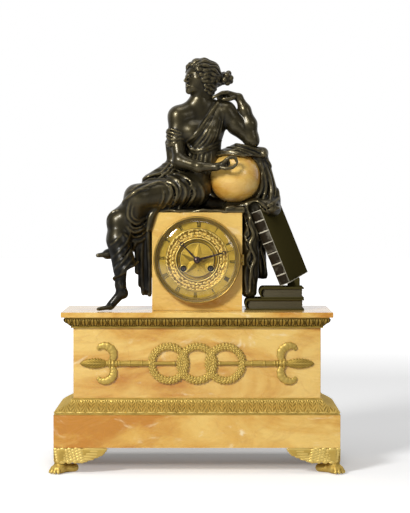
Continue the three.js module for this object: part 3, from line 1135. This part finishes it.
// Cloth spread on the case's top between two sides
const clothPad = (x0, x1, rise) =>
  pad(x0, x1, caseFront - 5 * unit, caseFront + 0.757 * CASE_DEPTH, caseTop - 4 * unit,
    caseTop + rise * unit, 4 * unit);
const bodyField = blended(9, [
  limb(nearHip, nearKnee, 27, 19), limb(seat([-26, 6, 64]), seat([-68, -8, 44]), 12, 14),
  limb(farHip, farKnee, 22, 14.5), limb(nearHip, farHip, 26, 25),
  limb(seat([-20, 10, 22]), seat([-92, -24, 4]), 22, 15),
  limb(nearKnee, nearCalf, 18, 15), limb(nearCalf, nearAnkle, 14, 8), limb(nearAnkle, nearToes, 9, 6.5),
  limb(farKnee, farCalf, 15, 15.5), limb(farCalf, farAnkle, 15, 9.5), limb(farAnkle, farHeel, 8, 8),
  limb(farHeel, farBall, 8, 7), limb(farBall, farToes, 7.5, 5.5), limb(nearCalf, farCalf, 12, 13),
  limb(seat([-90, -12, -18]), seat([-91, -10, -56]), 15, 10),
  limb(seat([-2, 10, 34]), waist, 28, 21), limb(waist, ribs, 21, 22),
  limb(seat([18, 8, 66]), seat([22, 8, 112]), 18, 15),
  limb(seat([-13, 2, 124]), seat([25, 6, 127]), 17, 17), limb(rightShoulder, neckRoot, 12, 12),
  limb(leftShoulder, neckRoot, 12, 12), limb(seat([-8, -12, 119]), seat([-8, -12, 119]), 12),
  limb(seat([20, -10, 118]), seat([20, -10, 118]), 12.5), limb(neckRoot, seat([6, 5, 162]), 10.5, 9.6),
  limb(rightShoulder, seat([-30, -9, 103]), 12, 11.5),
  limb(seat([-32, -2, 96]), seat([-31, 4, 64]), 10, 8),
  clothPad(-halfCase - 3 * unit, 40 * unit, 10),
  limb(beside(-1, [11, -6, 6]), beside(-1, [10, -2, -70]), 15, 11),
  limb(beside(-1, [10, -2, -70]), beside(-1, [9, 2, -116]), 11, 8),
  limb(beside(-1, [8, 26, 6]), beside(-1, [8, 24, -96]), 11, 7),
]);
const headField = blended(5, [
  limb(skull, seat([14, 6, 202]), 24, 23), limb(seat([-3, -2, 206]), chin, 15, 8),
  limb(seat([-17, -6, 202]), seat([-21, -7, 194]), 2.6, 3),
  limb(seat([30, 8, 198]), bun, 12, 7), limb(bun, seat([45, 10, 196]), 9, 8.5),
  limb(seat([9, 6, 185]), seat([7, 5.5, 160]), 11, 9.6),
  limb(seat([24, 8, 190]), seat([20, 8, 176]), 12, 9),
]);
const rightArmField = blended(5, [
  limb(seat([-30, -9, 103]), rightElbow, 10.5, 9.5), limb(rightElbow, seat([4, -32, 66]), 10, 8),
  limb(seat([4, -32, 66]), rightWrist, 8, 6),
  limb(rightWrist, seat([40, -38, 71]), 6.5, 6.5), limb(seat([40, -38, 72]), rightFingers, 5, 3.6),
  limb(seat([40, -38, 69]), seat([49, -36, 67]), 4, 3.4),
]);
const leftArmField = blended(5, [
  limb(seat([48, 8, 136]), leftElbow, 12, 10), limb(leftElbow, seat([79, 7, 138]), 10, 9),
  limb(seat([79, 7, 138]), leftWrist, 9, 6.2),
  limb(leftWrist, seat([52, 9, 175]), 6.5, 6), limb(seat([52, 9, 175]), leftFingers, 6, 4),
]);
const globeAt = [GLOBE_X, GLOBE_Y, caseTop + GLOBE_RISE];
const capField = (() => {
  const shell = ball(globeAt, GLOBE_RADIUS + 7 * unit);
  const opening = ball([globeAt[0] - 22 * unit, globeAt[1] - 45 * unit, globeAt[2] - 19 * unit], 56 * unit);
  return (p) => Math.max(shell(p), -opening(p));
})();
const drapeField = blended(8, [
  capField, limb(seat([58, 4, 93]), seat([97, 8, 88]), 8, 9),
  limb(seat([92, 22, 78]), seat([108, 20, 20]), 15, 15),
  limb(seat([108, 18, 20]), seat([112, 14, 6]), 14, 13),
  limb(seat([88, -2, 10]), seat([108, 2, 8]), 10, 12),
  limb(seat([50, 6, 6]), seat([84, 0, 8]), 11, 10),
  limb(beside(1, [14, -8, 4]), beside(1, [13, -6, -92]), 12, 10),
  limb(beside(1, [13, -6, -92]), beside(1, [11, -6, -118]), 9, 8),
  limb(beside(1, [22, 20, 0]), beside(1, [26, 22, -86]), 13, 10),
  limb(seat([70, 40, 40]), beside(1, [14, 40, -60]), 14, 10), clothPad(38 * unit, halfCase + 4 * unit, 11),
]);

const figureLow = [-160 * unit, -75 * unit, slabTop - 21.2 * unit];
const figureHigh = seat([150, 85, 240]);
const grown = (field) => (p) => field(p) - CLEAR;
// Facets cut inside a rounded surface, so the field is raised by a share of the facet size
const skinned = (field, cell) => skin((p) => field(p) - 0.08 * cell, figureLow, figureHigh, cell);
const caseRoom =
  box(-halfCase - CLEAR, halfCase + CLEAR, caseFront - CLEAR, caseBack + CLEAR, slabTop, caseTop + CLEAR);
const underSlab = box(-slabWidth, slabWidth, -plinthDepth, plinthDepth, slabTop - 60, slabTop + CLEAR);
const globeBall = (radius) =>
  new THREE.SphereGeometry(radius, 18, 11).rotateX(Math.PI / 2).translate(...globeAt);

// Books: two lie flat on the slab, and a third leans on the drapery with its spine to the front
const stackX = halfCase + 4;
const stackFront = caseFront - 2;
function flatBook(length, x0, y0, z0) {
  const block = box(x0, x0 + length, y0, y0 + STACK_DEPTH, z0 + 2, z0 + STACK_THICKNESS - 2);
  const boards =
    [z0, z0 + STACK_THICKNESS - 2.2].map((z) =>
      box(x0 - 1.5, x0 + length + 2, y0 - 1.5, y0 + STACK_DEPTH, z, z + 2.2));
  return join(block, ...boards);
}
const lowerBookZ = slabTop + BED;
const upperBookZ = lowerBookZ + STACK_THICKNESS + BED;
add("lower_book", flatBook(LOWER_BOOK_LENGTH, stackX, stackFront, lowerBookZ), bronze);
add("upper_book",
  flatBook(UPPER_BOOK_LENGTH, stackX + LOWER_BOOK_LENGTH - UPPER_BOOK_LENGTH, stackFront + 2,
    upperBookZ), bronze);
// The leaning book's own frame: x across the boards, y from the spine to the fore edge, z along the spine
const lean = THREE.MathUtils.degToRad(BOOK_LEAN);
const bookFoot = [
  halfCase + 64,
  stackFront + 16,
  upperBookZ + STACK_THICKNESS + CLEAR + Math.sin(lean) * (BOOK_THICKNESS / 2 + 0.5) + 0.6,
];
const leant = (geometry) =>
  geometry.rotateZ(-THREE.MathUtils.degToRad(BOOK_TURN)).rotateY(-lean).translate(...bookFoot);
const halfBook = BOOK_THICKNESS / 2;
const BOARD = 2.2;
// A rounded back across the spine, with its middle at the given height
const spineBar = (radius, bulge, length, z) =>
  new THREE.CylinderGeometry(radius, radius, length, 8).rotateX(Math.PI / 2).scale(1, bulge,
    1).translate(0, -1, z);
const pages = box(-halfBook + BOARD - 0.2, halfBook - BOARD + 0.2, 0, BOOK_WIDTH - 3, 2, BOOK_LENGTH - 2);
const bookBoards =
  [-halfBook, halfBook - BOARD].map((x) => box(x, x + BOARD, -1, BOOK_WIDTH, 0, BOOK_LENGTH));
const bookBands = Array.from({ length: BOOK_BANDS }, (_, i) =>
  spineBar(halfBook + 0.4, 0.55, 3, (BOOK_LENGTH * (i + 0.9)) / (BOOK_BANDS + 0.8)));
const book =
  leant(join(pages, ...bookBoards, spineBar(halfBook, 0.45, BOOK_LENGTH, BOOK_LENGTH / 2), ...bookBands));
const wideHalf = halfBook + 0.4 + CLEAR;
const bookRoom = leant(join(
  box(-wideHalf, wideHalf, -1 - CLEAR, BOOK_WIDTH + CLEAR, -CLEAR, BOOK_LENGTH + CLEAR),
  spineBar(wideHalf, 0.6, BOOK_LENGTH + 2 * CLEAR, BOOK_LENGTH / 2)));
const stackRoom =
  box(stackX - 1.5 - CLEAR, stackX + LOWER_BOOK_LENGTH + 2 + CLEAR, stackFront - 1.5 - CLEAR,
  stackFront + 2 + STACK_DEPTH + CLEAR, slabTop, upperBookZ + STACK_THICKNESS + CLEAR);
const figureBody =
  mainBody(cut(skinned(bodyField, FIGURE_CELL), caseRoom, underSlab, globeBall(GLOBE_RADIUS + CLEAR)));
const bodyRoom = skinned(grown(bodyField), FIGURE_CELL);
const drapery =
  mainBody(cut(skinned(drapeField, FIGURE_CELL), bodyRoom, figureBody, caseRoom,
    globeBall(GLOBE_RADIUS + CLEAR), bookRoom, stackRoom));
const drapeRoom = skinned(grown(drapeField), FIGURE_CELL);
const head = mainBody(cut(skinned(headField, HEAD_CELL), bodyRoom, figureBody));
const headRoom = skinned(grown(headField), HEAD_CELL);
add("figure_body", figureBody, bronze);
add("figure_head", head, bronze);
add("figure_right_arm",
  mainBody(cut(skinned(rightArmField, LIMB_CELL), bodyRoom, figureBody,
    globeBall(GLOBE_RADIUS + CLEAR))), bronze);
add("figure_left_arm",
  mainBody(cut(skinned(leftArmField, LIMB_CELL), bodyRoom, figureBody, headRoom, head, drapeRoom,
    drapery)), bronze);
add("globe", globeBall(GLOBE_RADIUS), marble);
add("globe_drapery", drapery, bronze);
add("leaning_book", book, bronze);

export default clock;
